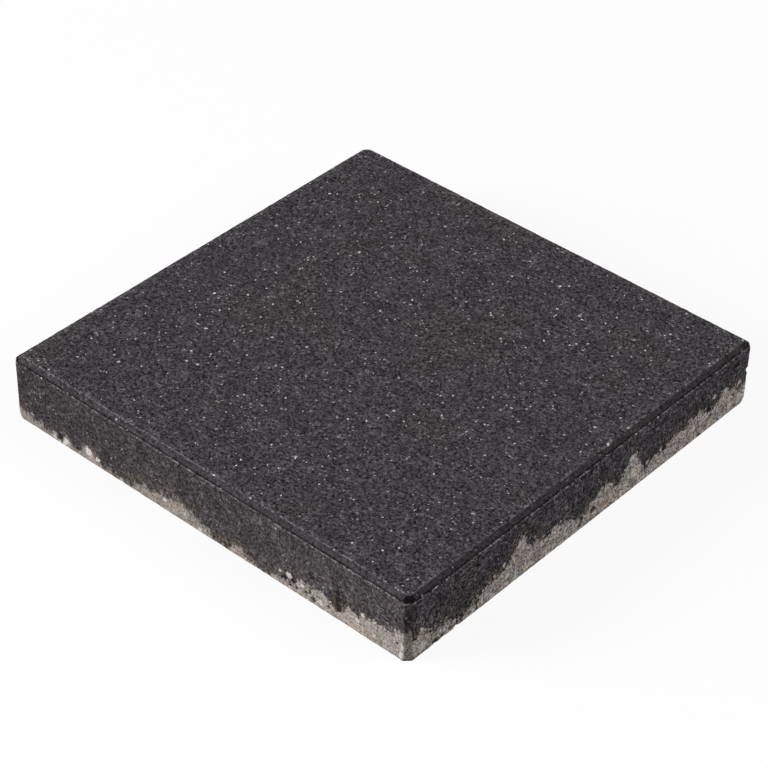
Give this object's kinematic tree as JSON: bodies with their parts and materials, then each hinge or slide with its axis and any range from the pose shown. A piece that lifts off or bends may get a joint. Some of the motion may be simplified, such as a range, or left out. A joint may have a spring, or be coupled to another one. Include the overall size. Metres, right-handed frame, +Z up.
{
  "type": "concrete paving slab",
  "caption": "Square pressed concrete paving slab with a chamfered walking face, cut upright corners and a dark facing over a grey backing, for laying paths and patios.",
  "frame": {"origin": "middle of the bed face, which lies on the ground", "axes": "+Z up out of the walking face, X and Y along the slab's sides"},
  "size_m": [0.35, 0.35, 0.05],
  "materials": {
    "concrete": "matt, open-textured anthracite facing mix over a plain grey backing mix"
  },
  "bodies": {
    "root": {"paving_slab": "concrete"}
  },
  "joints": []
}
